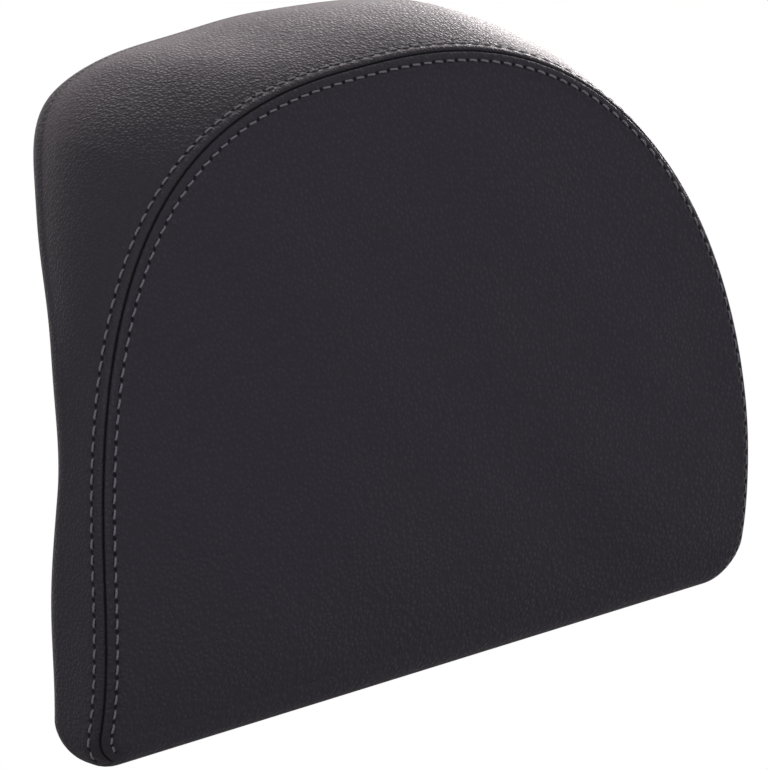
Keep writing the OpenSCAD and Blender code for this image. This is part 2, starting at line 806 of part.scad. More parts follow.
module rail_cap() {
    wall = 3;
    depth = 5;
    top_z = rail_z + rail_len;
    color([0.08, 0.08, 0.085])
        in_place()
            difference() {
                block([-rail_w / 2 - wall, rail_y - wall, top_z - depth],
                      [rail_w / 2 + wall, rail_y + rail_t + wall, top_z + wall]);
                block([-rail_w / 2 - gap, rail_y - gap, top_z - depth - 1],
                      [rail_w / 2 + gap, rail_y + rail_t + gap, top_z]);
            }
}

front_panel();
side_band();
seam_tape();
front_stitching();
band_stitching();
comfort_foam();
core_foam();
carrier_shell();
tee_nuts();
staples();
rear_cover();
cover_screws();
hinge_bracket();
bracket_screws();
hinge_bushes();
carriage();
glide_liners();
preload_screws();
hinge_pin();
friction_washers();
lock_nut();
mounting_plate();
rail();
rail_spacer();
rail_screws();
rail_cap();
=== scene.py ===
"""Looks of a chair headrest attachment: an arched leather pad on a tilt hinge, a slide and a bolt-on plate.

Leather, seam, stitches and foam are built here as surfaces. Hard parts keep their shapes and get finishes.
Everything is in metres in the part's own frame: +Z up, the pad's face towards -Y.
"""

import logging
import math
from collections.abc import Callable
from dataclasses import dataclass, field
from enum import Enum
from typing import ClassVar

import bpy
import numpy as np
from mathutils import Matrix, Vector


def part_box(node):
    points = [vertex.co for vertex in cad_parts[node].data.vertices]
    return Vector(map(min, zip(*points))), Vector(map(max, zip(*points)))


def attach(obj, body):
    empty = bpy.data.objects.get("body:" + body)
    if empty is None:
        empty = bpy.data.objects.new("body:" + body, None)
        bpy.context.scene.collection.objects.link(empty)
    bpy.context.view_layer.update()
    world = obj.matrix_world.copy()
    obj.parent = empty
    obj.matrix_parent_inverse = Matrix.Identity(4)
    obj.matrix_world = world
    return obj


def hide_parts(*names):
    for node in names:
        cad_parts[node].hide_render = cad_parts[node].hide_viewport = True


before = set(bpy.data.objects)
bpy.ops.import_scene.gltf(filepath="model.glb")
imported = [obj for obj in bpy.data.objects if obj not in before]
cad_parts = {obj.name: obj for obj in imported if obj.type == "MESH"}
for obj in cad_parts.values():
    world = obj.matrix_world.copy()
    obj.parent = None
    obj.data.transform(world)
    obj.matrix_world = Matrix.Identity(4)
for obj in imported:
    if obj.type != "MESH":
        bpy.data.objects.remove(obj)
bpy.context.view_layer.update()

LOG = logging.getLogger("headrest")
Array = np.ndarray
Triple = tuple[float, float, float]
Colour = Triple
Node = bpy.types.Node
Socket = bpy.types.NodeSocket
Piece = bpy.types.Object


# ---- Meshes ----


def grid_faces(rows: int, columns: int, closed: bool = False) -> Array:
    """Corner numbers of a grid's quads, where point number = row * columns + column.

    Args:
        rows: number of rows of points.
        columns: number of points in a row.
        closed: whether the last column joins the first.

    Returns:
        One row of four corner numbers for each quad.
    """
    i = np.arange(rows - 1)[:, None]
    j = np.arange(columns if closed else columns - 1)[None, :]
    right = (j + 1) % columns
    corners = [i * columns + j, i * columns + right, (i + 1) * columns + right, (i + 1) * columns + j]
    return np.stack([np.broadcast_to(c, (len(i), j.shape[1])) for c in corners], -1).reshape(-1, 4)


def runs(*parts: tuple[float, float, int]) -> Array:
    """Evenly spaced numbers in several runs, each given by its first, its last and their count."""
    return np.concatenate([np.linspace(*part) for part in parts])


def middle_fan(n: int) -> Array:
    """Triangles that close the first row of n points, all in one place, with the second row round it."""
    j = np.arange(n)
    return np.stack([np.zeros(n, int), n + j, n + (j + 1) % n], 1)


def linked(name: str, data: bpy.types.ID) -> Piece:
    """A new object with the given data, put in the scene."""
    made = bpy.data.objects.new(name, data)
    bpy.context.scene.collection.objects.link(made)
    return made


def make_mesh(name: str, points: Array, faces: Array, values: dict[str, Array] | None = None,
              extra: Array | None = None) -> Piece:
    """Makes a smooth-shaded mesh object at the origin and leaves out the points that no face uses.

    Args:
        name: the object's name.
        points: one row of x, y, z for each point.
        faces: quads, one row of four point numbers each.
        values: numbers kept for each point, by attribute name.
        extra: triangles, one row of three point numbers each.

    Returns:
        The new object.
    """
    triangles = np.zeros((0, 3), int) if extra is None else extra
    used, flat = np.unique(np.concatenate([faces.ravel(), triangles.ravel()]), return_inverse=True)
    mesh = bpy.data.meshes.new(name)
    mesh.vertices.add(len(used))
    mesh.vertices.foreach_set("co", points[used].astype(np.float32).ravel())
    mesh.loops.add(len(flat))
    mesh.loops.foreach_set("vertex_index", flat.astype(np.int32))
    sizes = np.concatenate([np.full(len(faces), 4), np.full(len(triangles), 3)])
    mesh.polygons.add(len(sizes))
    mesh.polygons.foreach_set("loop_start", np.concatenate([[0], np.cumsum(sizes)[:-1]]).astype(np.int32))
    mesh.polygons.foreach_set("use_smooth", np.ones(len(sizes), bool))
    mesh.update(calc_edges=True)
    for label, numbers in (values or {}).items():
        attribute = mesh.attributes.new(label, "FLOAT", "POINT")
        attribute.data.foreach_set("value", numbers[used].astype(np.float32).ravel())
    mesh.validate()
    return linked(name, mesh)


def lengths_along(points: Array) -> Array:
    """Distance along lines of points from their first point: the running sum of the steps.

    Args:
        points: array whose first axis runs along the line and whose last is x, y, z.

    Returns:
        The distances, one for each point.
    """
    steps = np.linalg.norm(np.diff(points, axis=0), axis=-1)
    return np.concatenate([np.zeros_like(steps[:1]), np.cumsum(steps, axis=0)])


def unit(vectors: Array) -> Array:
    """The vectors scaled to length 1."""
    return vectors / np.maximum(np.linalg.norm(vectors, axis=-1, keepdims=True), 1e-12)


def rgba(colour: Colour, times: float = 1.0) -> tuple[float, float, float, float]:
    """The colour, lighter or darker by the given factor, with an opaque fourth number."""
    return (*(c * times for c in colour), 1.0)


def smooth_step(x: Array, low: float, high: float) -> Array:
    """0 below low, 1 above high, and a cubic S between them."""
    t = np.clip((x - low) / (high - low), 0.0, 1.0)
    return t * t * (3.0 - 2.0 * t)


# ---- The pad's shape ----


@dataclass(frozen=True)
class Outline:
    """The pad's outline: a closed line of points, the sewn part first and the bottom last.

    Attributes:
        points: one row of x, z, inward x, inward z for each point.
        sewn: how many of the points lie on the sewn part.
    """

    points: Array
    sewn: int


@dataclass(frozen=True)
class PadShape:
    """The pad's surface, measured from the foot of its front seam, as the hard parts' drawing has it."""

    half_w: float = 0.144
    top_z: float = 0.1915
    bottom_z: float = -0.006
    side_top: float = 0.033
    power: float = 2.54
    corner_r: float = 0.014
    band_end: float = -60.0
    lean: float = 0.034
    bow: float = 0.0104
    crown: float = 0.004
    offset: float = 0.0025
    chin: float = 0.008
    chin_z: float = 0.060
    seam_h: float = 0.190
    middle_z: float = 0.095
    back_y: float = 0.021
    sweep_z: float = 0.080
    sweep_rate: float = 8.75
    top_y: float = 0.101
    cap_z: float = 0.178
    cap_rate: float = 50.0
    soft: float = 0.003
    edge_r: float = 0.007
    bottom_edge_r: float = 0.012
    bottom_edge_z: float = 0.008
    bottom_edge_fade: float = 0.014
    band_crown: float = 0.0075
    band_thin: float = 0.030
    band_thick: float = 0.075
    seam_s: float = 1.55

    def outline(self, sewn: int, under: int) -> Outline:
        """Works out the outline, with points an even distance apart on each of its two parts.

        The arch is a superellipse, |x / half width| ** power + |height / arch height| ** power = 1, on
        straight sides with round corners below.

        Args:
            sewn: points on the sewn part.
            under: points on the bottom part.

        Returns:
            The outline.
        """

        def corner(angles: Array) -> Array:
            """Right-hand bottom corner: a circle's arc through the given angles, in degrees."""
            c, s = np.cos(np.radians(angles)), np.sin(np.radians(angles))
            x, z = self.half_w + self.corner_r * (c - 1), self.bottom_z + self.corner_r * (1 + s)
            return np.stack([x, z, -c, -s], 1)

        def mirrored(line: Array) -> Array:
            """The same line on the other side, in the opposite order."""
            return line[::-1] * np.array([-1.0, 1.0, -1.0, 1.0])

        angle = np.linspace(0, np.pi / 2, 1500)
        height = self.top_z - self.side_top
        x = self.half_w * np.cos(angle) ** (2 / self.power)
        z = height * np.sin(angle) ** (2 / self.power)
        inward = -unit(np.stack([(x / self.half_w) ** (self.power - 1) / self.half_w,
                                 (z / height) ** (self.power - 1) / height], 1))
        arch = np.column_stack([x, z + self.side_top, inward])
        half = np.concatenate([corner(np.linspace(self.band_end, 0, 60)), arch])
        band = np.concatenate([half, mirrored(half)[1:]])
        foot = corner(np.linspace(-90, self.band_end, 60))
        base = np.concatenate([mirrored(foot), foot])

        def even(line: Array, count: int) -> Array:
            """The line resampled to count points, an even distance apart."""
            at = lengths_along(line[:, [0, 0, 1]] * np.array([1.0, 0.0, 1.0]))
            places = np.linspace(0, at[-1], count)
            out = np.stack([np.interp(places, at, line[:, k]) for k in range(4)], 1)
            out[:, 2:] = unit(out[:, 2:])
            return out

        return Outline(np.concatenate([even(band, sewn), even(base, under + 2)[1:-1]]), sewn)

    def face(self, z: Array) -> Array:
        """Depth of the face at height z: a straight lean, a parabola for the bow, and a round chin."""
        u = z / self.seam_h - 0.5
        k = np.clip(1 - z / self.chin_z, 0, 1)
        return self.lean * u + 4 * self.bow * u * u - self.offset + self.chin * (1 - np.sqrt(1 - k * k))

    def back(self, z: Array) -> Array:
        """Depth of the back at height z: flat, then a parabola blended softly into the thick top."""
        sweep = self.sweep_rate * np.maximum(z - self.sweep_z, 0) ** 2
        cap = self.top_y - self.back_y - self.cap_rate * np.maximum(z - self.cap_z, 0) ** 2
        return self.back_y - self.soft * np.logaddexp(-sweep / self.soft, -cap / self.soft)

    def stretch(self, side: Callable[[Array], Array], z: Array) -> Array:
        """Depth along y taken up by one unit square to the face or back at height z, from its slope."""
        h = 0.0005
        return np.hypot(1, (side(z + h) - side(z - h)) / (2 * h))

    def surface(self, line: Array, s: Array, depth: float = 0.0) -> Array:
        """Points of the pad, depth under its surface.

        Each outline point has a section: s from 0 to 1 goes from the middle of the face to its edge, 1 to 2
        round the front edge, 2 to 3 across the band with a parabola's crown, 3 to 4 round the back edge, and
        4 to 5 back to the middle of the back.

        Args:
            line: outline points.
            s: places on the section, in rising order.
            depth: how far under the surface.

        Returns:
            Array of points with one row for each place and one column for each outline point.
        """
        x, z, nx, nz = (line[None, :, k] for k in range(4))
        s = s[:, None]
        fade = np.clip((self.bottom_edge_z - z) / self.bottom_edge_fade, 0, 1)
        r = self.edge_r + (self.bottom_edge_r - self.edge_r) * fade
        fx, fz = x + nx * r, z + nz * r
        front, rear = self.face(fz) + r, self.back(fz) - r
        thick = self.back(z) - self.face(z)
        bulge = self.band_crown * np.clip((thick - self.band_thin) / (self.band_thick - self.band_thin), 0, 1)
        k = np.where(s <= 1, s, 5 - s)
        qx, qz = k * fx, self.middle_z + k * (fz - self.middle_z)
        face_y = self.face(qz) + depth * self.stretch(self.face, qz) - self.crown * (1 - s * s)
        back_y = self.back(qz) - depth * self.stretch(self.back, qz)
        a, b, f = np.pi / 2 * (s - 1), np.pi / 2 * (s - 3), s - 2
        out = bulge * 4 * f * (1 - f) - depth
        reach = r - depth
        one = np.ones_like(qx)
        zones = [s * one <= 1, s * one <= 2, s * one <= 3, s * one <= 4]
        turned, rolled = reach * np.sin(a), reach * np.cos(b)
        px = np.select(zones, [qx, fx - nx * turned, x - nx * out, fx - nx * rolled], qx)
        py = np.select(zones, [face_y, front - reach * np.cos(a), front + (rear - front) * f,
                               rear + reach * np.sin(b)], back_y)
        pz = np.select(zones, [qz, fz - nz * turned, z - nz * out, fz - nz * rolled], qz)
        return np.stack([px, py, pz], -1)


def pad_out(piece: Piece, node: str, finish: "Finish") -> Piece:
    """Puts the finish on a padded piece and hides the plain solid that it stands for."""
    finish.dress(piece)
    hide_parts(node)
    return piece


def surface_normals(points: Array, outward: Array) -> Array:
    """Unit normals of a grid that is closed along its columns, from its two running directions.

    Args:
        points: grid of points, rows by columns by 3.
        outward: a point well inside the shape, from which the normals point away.

    Returns:
        Grid of normals.
    """
    along = np.roll(points, -1, 1) - np.roll(points, 1, 1)
    across = np.gradient(points, axis=0)
    normal = unit(np.cross(along, across))
    side = np.sign(np.sum(normal[len(normal) // 2] * (points[len(points) // 2] - outward), -1).mean())
    return normal * side


# ---- Shader building ----


@dataclass
class Graph:
    """Adds nodes to one node tree and joins them."""

    tree: bpy.types.NodeTree

    def add(self, kind: str, inputs: dict | None = None, **settings: object) -> Node:
        """Adds one node.

        Args:
            kind: the node's type name.
            inputs: by input name or number, a value to set or a socket to join.
            settings: properties of the node.

        Returns:
            The node.
        """
        node = self.tree.nodes.new(kind)
        for name, value in settings.items():
            setattr(node, name, value)
        self.feed(node, inputs or {})
        return node

    def feed(self, node: Node, inputs: dict) -> None:
        """Sets or joins inputs of the node: by input name or number, a value to set or a socket to join."""
        for name, value in inputs.items():
            if isinstance(value, Socket):
                self.tree.links.new(value, node.inputs[name])
            else:
                node.inputs[name].default_value = value

    def kept(self, name: str) -> Socket:
        """The number of that name that was kept for each point of the mesh."""
        return self.add("ShaderNodeAttribute", attribute_name=name).outputs["Fac"]

    def math(self, operation: str, a: object, b: object = 0.0, clamp: bool = False) -> Socket:
        """Result of one sum on numbers or sockets."""
        return self.add("ShaderNodeMath", {0: a, 1: b}, operation=operation, use_clamp=clamp).outputs[0]

    def times(self, a: object, b: object) -> Socket:
        """One number or socket times another."""
        return self.math("MULTIPLY", a, b)

    def vector(self, operation: str, a: object, b: object) -> Socket:
        """Result of one sum on vectors."""
        return self.add("ShaderNodeVectorMath", {0: a, 1: b}, operation=operation).outputs[0]

    def scaled(self, vector: Socket, factor: object) -> Socket:
        """The vector times a number, a socket or three numbers."""
        if isinstance(factor, tuple):
            return self.vector("MULTIPLY", vector, factor)
        return self.add("ShaderNodeVectorMath", {0: vector, "Scale": factor}, operation="SCALE").outputs[0]

    def spread(self, value: object, low: float, high: float, to_low: float = 0.0, to_high: float = 1.0,
               kind: str = "SMOOTHSTEP") -> Socket:
        """The value carried from the range low to high onto to_low to to_high."""
        node = self.add("ShaderNodeMapRange", {"Value": value, "From Min": low, "From Max": high,
                                               "To Min": to_low, "To Max": to_high}, interpolation_type=kind)
        return node.outputs[0]

    def blend(self, factor: object, a: object, b: object, mode: str = "MIX") -> Socket:
        """Colour a mixed with colour b by the factor."""
        node = self.add("ShaderNodeMix", {0: factor, 6: a, 7: b}, data_type="RGBA", blend_type=mode)
        return node.outputs[2]

    def noise(self, vector: object, size: object, detail: float = 3.0, rough: float = 0.5) -> Socket:
        """Noise with features about size metres wide, a number or a socket, where vector is in metres."""
        scale = 1.0 / size if isinstance(size, float) else self.math("DIVIDE", 1.0, size)
        return self.add("ShaderNodeTexNoise", {"Vector": vector, "Scale": scale, "Detail": detail,
                                               "Roughness": rough}).outputs[0]

    def cells(self, vector: object, scale: object, feature: str = "F1", **inputs: float) -> Socket:
        """Distance in a pattern of cells, scale cells to a metre, measured as the feature says."""
        return self.add("ShaderNodeTexVoronoi", {"Vector": vector, "Scale": scale, **inputs},
                        feature=feature).outputs["Distance"]


class Effect:
    """A surface effect that several materials use: a node group, built once."""

    made: dict[str, bpy.types.NodeTree] = {}

    @classmethod
    def tree(cls, name: str, inputs: list[str], outputs: list[str]) -> tuple[Graph, dict, Node]:
        """Starts a group.

        Args:
            name: the group's name.
            inputs: names of the inputs, all numbers but the one called Vector.
            outputs: names of the outputs, all numbers.

        Returns:
            The graph, the input sockets by name, and the node whose inputs are the group's outputs.
        """
        group = bpy.data.node_groups.new(name, "ShaderNodeTree")
        for label in inputs:
            kind = "Vector" if label == "Vector" else "Float"
            group.interface.new_socket(label, in_out="INPUT", socket_type="NodeSocket" + kind)
        for label in outputs:
            group.interface.new_socket(label, in_out="OUTPUT", socket_type="NodeSocketFloat")
        graph = Graph(group)
        start, end = graph.add("NodeGroupInput"), graph.add("NodeGroupOutput")
        cls.made[name] = group
        return graph, {n: start.outputs[n] for n in inputs}, end

    @classmethod
    def place(cls, graph: Graph, name: str, inputs: dict) -> bpy.types.NodeOutputs:
        """Puts the group of that name into a material, with its own values, and gives its outputs."""
        return graph.add("ShaderNodeGroup", inputs, node_tree=cls.made[name]).outputs


def pebble_grain() -> None:
    """Leather's pebbles: domes of a smooth cell pattern with grooves between them, in a gently bent space."""
    warp_scale, warp_by = 260.0, 0.0016
    dome_share, groove_share, fine_share = 0.7, 0.3, -0.15
    g, i, end = Effect.tree("Pebble grain", ["Vector", "Size"], ["Height", "Valley"])
    bent = g.add("ShaderNodeTexNoise", {"Vector": i["Vector"], "Scale": warp_scale, "Detail": 2.0}).outputs[1]
    shift = g.scaled(g.vector("SUBTRACT", bent, (0.5, 0.5, 0.5)), warp_by)
    place = g.vector("ADD", i["Vector"], shift)
    scale = g.math("DIVIDE", 1.0, i["Size"])
    cell = g.cells(place, scale, "SMOOTH_F1", Smoothness=0.6, Randomness=0.9)
    edge = g.cells(place, scale, "DISTANCE_TO_EDGE", Randomness=0.9)
    small = g.cells(place, g.times(scale, 2.3))
    dome, groove = g.spread(cell, 0.1, 0.7, 1.0, 0.0), g.spread(edge, 0.0, 0.3)
    coarse = g.math("ADD", g.times(dome, dome_share), g.times(groove, groove_share))
    g.feed(end, {"Height": g.math("ADD", coarse, g.times(small, fine_share)),
                 "Valley": g.math("SUBTRACT", 1.0, groove)})


def soft_creases() -> None:
    """Creases where a slow noise crosses its middle value, stretched sideways, in some places only."""
    stretch, bend_size, bend_by, patch_size, half_width = (0.32, 1.0, 1.0), 0.045, 0.022, 0.07, 0.06
    g, i, end = Effect.tree("Soft creases", ["Vector", "Size"], ["Height", "Mask"])
    wide = g.scaled(i["Vector"], stretch)
    bent = g.noise(i["Vector"], bend_size, 2.0)
    bend = g.scaled(g.add("ShaderNodeCombineXYZ", {0: bent, 2: bent}).outputs[0], bend_by)
    folds = g.noise(g.vector("ADD", wide, bend), i["Size"], 2.0)
    line = g.spread(g.math("ABSOLUTE", g.math("SUBTRACT", folds, 0.5)), 0.0, half_width, 1.0, 0.0)
    mask = g.times(line, g.spread(g.noise(i["Vector"], patch_size, 1.0), 0.5, 0.7))
    g.feed(end, {"Height": g.times(mask, -1.0), "Mask": mask})


def stitch_marks() -> None:
    """Needle holes at every pitch of the row, and the leather drawn down round them."""
    hole_r, hole_edge, pull_r = 0.0004, 0.0008, 0.0028
    hole_share, pull_share = 0.8, 0.55
    g, i, end = Effect.tree("Stitch marks", ["Along", "Across", "Sewn", "Row", "Pitch"], ["Height", "Hole"])
    phase = g.math("SUBTRACT", g.math("FRACT", g.math("DIVIDE", i["Along"], i["Pitch"])), 0.5)
    run = g.times(g.math("SUBTRACT", 0.5, g.math("ABSOLUTE", phase)), i["Pitch"])
    off = g.math("SUBTRACT", i["Across"], i["Row"])
    far = g.math("SQRT", g.math("ADD", g.times(run, run), g.times(off, off)))
    hole = g.times(g.spread(far, hole_r, hole_edge, 1.0, 0.0), i["Sewn"])
    pull = g.times(g.spread(far, 0.0, pull_r, -1.0, 0.0), i["Sewn"])
    height = g.math("SUBTRACT", g.times(pull, pull_share), g.times(hole, hole_share))
    g.feed(end, {"Height": height, "Hole": hole})


def handling_wear() -> None:
    """Patches of fine scratches, and clouds of dust."""
    scratch_way, scratch_size = (1.0, 0.4, 0.05), 1 / 2200
    g, i, end = Effect.tree("Handling wear", ["Vector", "Amount"], ["Mask", "Dust"])
    cloud = g.noise(i["Vector"], 0.03, 4.0, 0.6)
    scratch = g.noise(g.scaled(i["Vector"], scratch_way), scratch_size, 1.0)
    lines = g.times(g.spread(scratch, 0.66, 0.72), g.spread(cloud, 0.45, 0.7))
    dust = g.spread(cloud, 0.35, 0.75)
    g.feed(end, {"Mask": g.times(lines, i["Amount"]), "Dust": g.times(dust, i["Amount"])})


def brushed_lines() -> None:
    """Fine noise for the brushing, and the same noise made coarser for its tone."""
    coarser = 0.13
    g, i, end = Effect.tree("Brushed lines", ["Vector", "Fineness"], ["Height", "Tone"])
    fine = g.add("ShaderNodeTexNoise", {"Vector": i["Vector"], "Scale": i["Fineness"], "Detail": 2.0})
    tone = g.add("ShaderNodeTexNoise", {"Vector": i["Vector"], "Scale": g.times(i["Fineness"], coarser),
                                        "Detail": 3.0})
    g.feed(end, {"Height": fine.outputs[0], "Tone": tone.outputs[0]})


def moulded_texture() -> None:
    """Small cells for the mould's texture, and a slow cloud for its tone."""
    g, i, end = Effect.tree("Moulded texture", ["Vector", "Size"], ["Height", "Tone"])
    spark = g.cells(i["Vector"], g.math("DIVIDE", 1.0, i["Size"]))
    g.feed(end, {"Height": spark, "Tone": g.noise(i["Vector"], 0.02)})


@dataclass(frozen=True)
class Finish:
    """A finish that can be put on pieces. Each kind below builds its own material once."""

    name: str
    built: ClassVar[dict[str, bpy.types.Material]] = {}

    def nodes(self, g: Graph, shader: Node, place: Socket) -> None:
        """Builds the nodes that feed the shader, where place is the Object coordinates."""
        raise NotImplementedError

    def material(self) -> bpy.types.Material:
        """The finish's material, made at its first use."""
        if self.name not in Finish.built:
            made = bpy.data.materials.new(self.name)
            made.use_nodes = True
            g = Graph(made.node_tree)
            shader = made.node_tree.nodes["Principled BSDF"]
            self.nodes(g, shader, g.add("ShaderNodeTexCoord").outputs["Object"])
            Finish.built[self.name] = made
        return Finish.built[self.name]

    def dress(self, piece: Piece) -> None:
        """Puts the finish on every slot of the piece."""
        if not piece.material_slots:
            piece.data.materials.append(self.material())
        for place in piece.material_slots:
            place.material = self.material()


def bump(g: Graph, shader: Node, layers: list[tuple[Socket, float]]) -> None:
    """Feeds the shader's normal from height layers, one bump on another.

    Args:
        g: the material's graph.
        shader: the shader to feed.
        layers: a height and the depth in metres that it stands for, one pair for each layer.
    """
    normal = None
    for height, depth in layers:
        inputs = {"Height": height, "Distance": depth, "Strength": 1.0}
        if normal is not None:
            inputs["Normal"] = normal
        normal = g.add("ShaderNodeBump", inputs).outputs[0]
    g.feed(shader, {"Normal": normal})


STITCH_PITCH = 0.00495
PANEL_ROW_AWAY = 0.0036
BAND_ROW_AWAY = 0.0039
# Painted shade: the near-black colour laid along the seam line and in the needle holes.
SEAM_AND_HOLE_SHADE = (0.002, 0.002, 0.002)
RUBBED = (0.16, 0.16, 0.165)


@dataclass(frozen=True)
class Leather(Finish):
    """Pebbled leather with valleys, soft creases and the marks of one row of stitches."""

    top: Colour
    # valley: the painted shade colour laid in the grain's valleys.
    valley: Colour
    roughness: float
    grain: float
    grain_depth: float
    crease_depth: float
    row: float
    pitch: float = STITCH_PITCH
    mark_depth: float = 0.0006

    def nodes(self, g: Graph, shader: Node, place: Socket) -> None:
        """Grain, creases, tone, stitch marks and painted shade, from the surface's place and its distances to
        the seam.
        """
        along, across, sewn = (g.kept(n) for n in ("along", "across", "sewn"))
        grain = Effect.place(g, "Pebble grain", {"Vector": place, "Size": self.grain})
        crease = Effect.place(g, "Soft creases", {"Vector": place, "Size": 0.02})
        marks = Effect.place(g, "Stitch marks", {"Along": along, "Across": across, "Sewn": sewn,
                                                 "Row": self.row, "Pitch": self.pitch})
        cloud = g.noise(place, 0.05, 3.0)
        # Painted shade: the grain's valleys are darkened towards the valley colour.
        tone = g.blend(g.times(grain["Valley"], 0.45), rgba(self.top), rgba(self.valley))
        aged = g.blend(g.spread(cloud, 0.35, 0.7, 0.0, 0.22), tone, rgba(self.top, 1.35))
        # Painted shade: the seam line and the needle holes are darkened to near black; the same mask raises
        # the roughness.
        seam = g.times(g.spread(g.math("ABSOLUTE", across), 0.0002, 0.0006, 1.0, 0.0), sewn)
        seam_and_hole_shade = g.math("MAXIMUM", marks["Hole"], seam)
        rough = g.math("ADD", g.spread(cloud, 0.3, 0.7, self.roughness - 0.03, self.roughness + 0.04),
                       g.times(grain["Valley"], 0.14))
        g.feed(shader, {"Base Color": g.blend(g.times(seam_and_hole_shade, 0.9), aged, rgba(SEAM_AND_HOLE_SHADE)),
                        "Roughness": g.math("ADD", rough, g.times(seam_and_hole_shade, 0.4), clamp=True)})
        bump(g, shader, [(grain["Height"], self.grain_depth), (crease["Height"], self.crease_depth),
                         (marks["Height"], self.mark_depth)])


@dataclass(frozen=True)
class Thread(Finish):
    """Twisted thread: plies that wind round it, painted shade in the grooves between them, and loose fibre.
    """

    colour: Colour
    ply_length: float = 0.0011

    def nodes(self, g: Graph, shader: Node, place: Socket) -> None:
        """Ply lines, with painted shade in their grooves, from the thread's own lengthways and round-about
        numbers.
        """
        run, turn = g.kept("run"), g.kept("turn")
        wind = g.math("ADD", g.times(run, 2 * math.pi / self.ply_length), g.times(turn, 2 * math.pi))
        ply = g.math("SINE", wind)
        fibre = g.noise(place, 0.00012, 2.0)
        # Painted shade: the thread is darkened where the ply bump is low, in the grooves between the plies.
        tone = g.blend(g.spread(ply, -1.0, 0.2, 0.6, 0.0), rgba(self.colour), rgba(self.colour, 0.35))
        fuzzy = g.blend(g.spread(fibre, 0.3, 0.7, 0.0, 0.3), tone, rgba(self.colour, 1.3))
        g.feed(shader, {"Base Color": fuzzy, "Roughness": 0.62, "Sheen Weight": 0.25})
        bump(g, shader, [(ply, 0.00006), (fibre, 0.00004)])


@dataclass(frozen=True)
class Plastic(Finish):
    """Moulded plastic with a fine texture and the marks of handling."""

    colour: Colour
    roughness: float
    texture: float = 0.0006
    depth: float = 0.00005
    wear: float = 0.5

    def nodes(self, g: Graph, shader: Node, place: Socket) -> None:
        """Spark-eroded texture, tone, dust and light scratches."""
        skin = Effect.place(g, "Moulded texture", {"Vector": place, "Size": self.texture})
        worn = Effect.place(g, "Handling wear", {"Vector": place, "Amount": self.wear})
        cloudy = g.spread(skin["Tone"], 0.3, 0.7, 0.0, 0.35)
        tone = g.blend(cloudy, rgba(self.colour), rgba(self.colour, 1.25))
        pale = (*(0.6 * c + 0.05 for c in self.colour), 1)
        dull = g.spread(worn["Dust"], 0.0, 1.0, self.roughness, self.roughness + 0.14)
        rubbed = g.blend(g.times(worn["Mask"], 0.4), tone, pale)
        g.feed(shader, {"Base Color": rubbed, "Roughness": dull})
        bump(g, shader, [(skin["Height"], self.depth)])


@dataclass(frozen=True)
class Metal(Finish):
    """Bare or plated metal, brushed along one direction."""

    colour: Colour
    roughness: float
    grain: Triple = (1.0, 1.0, 1.0)
    fineness: float = 2500.0
    depth: float = 0.00002

    def nodes(self, g: Graph, shader: Node, place: Socket) -> None:
        """Brushing lines, cloudy tone and worn patches."""
        way = g.scaled(place, self.grain)
        lines = Effect.place(g, "Brushed lines", {"Vector": way, "Fineness": self.fineness})
        worn = Effect.place(g, "Handling wear", {"Vector": place, "Amount": 0.8})
        cloudy = g.spread(lines["Tone"], 0.35, 0.65, 0.0, 0.5)
        rough = g.spread(lines["Height"], 0.3, 0.7, self.roughness - 0.06, self.roughness + 0.08)
        tone = g.blend(cloudy, rgba(self.colour), rgba(self.colour, 0.72))
        g.feed(shader, {"Base Color": tone, "Metallic": 1.0,
                        "Roughness": g.math("ADD", rough, g.times(worn["Dust"], 0.12))})
        bump(g, shader, [(lines["Height"], self.depth)])


@dataclass(frozen=True)
class PowderCoat(Finish):
    """Painted steel: orange peel, dust and rub marks that lighten it."""

    colour: Colour
    roughness: float

    def nodes(self, g: Graph, shader: Node, place: Socket) -> None:
        """Orange peel from two sizes of noise, and rubbed lines."""
        worn = Effect.place(g, "Handling wear", {"Vector": place, "Amount": 0.9})
        peel = g.math("ADD", g.noise(place, 0.0011, 2.0), g.times(g.noise(place, 0.0004, 1.0), 0.4))
        tone = g.blend(g.times(worn["Mask"], 0.5), rgba(self.colour), rgba(RUBBED))
        dull = g.spread(worn["Dust"], 0.0, 1.0, self.roughness, self.roughness + 0.15)
        g.feed(shader, {"Base Color": tone, "Roughness": dull})
        bump(g, shader, [(peel, 0.00006)])


@dataclass(frozen=True)
class Plywood(Finish):
    """Birch plywood: plies through its depth and long grain on its faces."""

    name: str = "birch plywood"
    ply: float = 0.0012
    pale: Colour = (0.62, 0.42, 0.22)
    brown: Colour = (0.43, 0.27, 0.13)
    glue: Colour = (0.3, 0.18, 0.09)

    def nodes(self, g: Graph, shader: Node, place: Socket) -> None:
        """Grain from stretched noise, plies from bands across the sheet's depth."""
        grain = g.noise(g.scaled(place, (0.06, 1.0, 1.0)), 0.0012, 4.0, 0.6)
        depth = g.add("ShaderNodeSeparateXYZ", {0: place}).outputs[1]
        band = g.spread(g.math("SINE", g.times(depth, math.pi / self.ply)), -0.3, 0.3)
        tone = g.blend(grain, rgba(self.pale), rgba(self.brown))
        g.feed(shader, {"Base Color": g.blend(g.times(band, 0.3), tone, rgba(self.glue)), "Roughness": 0.7})
        bump(g, shader, [(grain, 0.00008)])


@dataclass(frozen=True)
class Foam(Finish):
    """Open-cell foam."""

    colour: Colour
    cell: float = 0.0011

    def nodes(self, g: Graph, shader: Node, place: Socket) -> None:
        """Cells of two sizes, with painted shade that darkens their depths."""
        skin = Effect.place(g, "Moulded texture", {"Vector": place, "Size": self.cell})
        # Painted shade: the cells' pits are darkened, where the bump is lowest.
        cell_shade = g.spread(skin["Height"], 0.1, 0.6, 1.0, 0.0)
        tone = g.blend(g.times(cell_shade, 0.6), rgba(self.colour), rgba(self.colour, 0.45))
        g.feed(shader, {"Base Color": tone, "Roughness": 0.95})
        bump(g, shader, [(skin["Height"], 0.0005)])


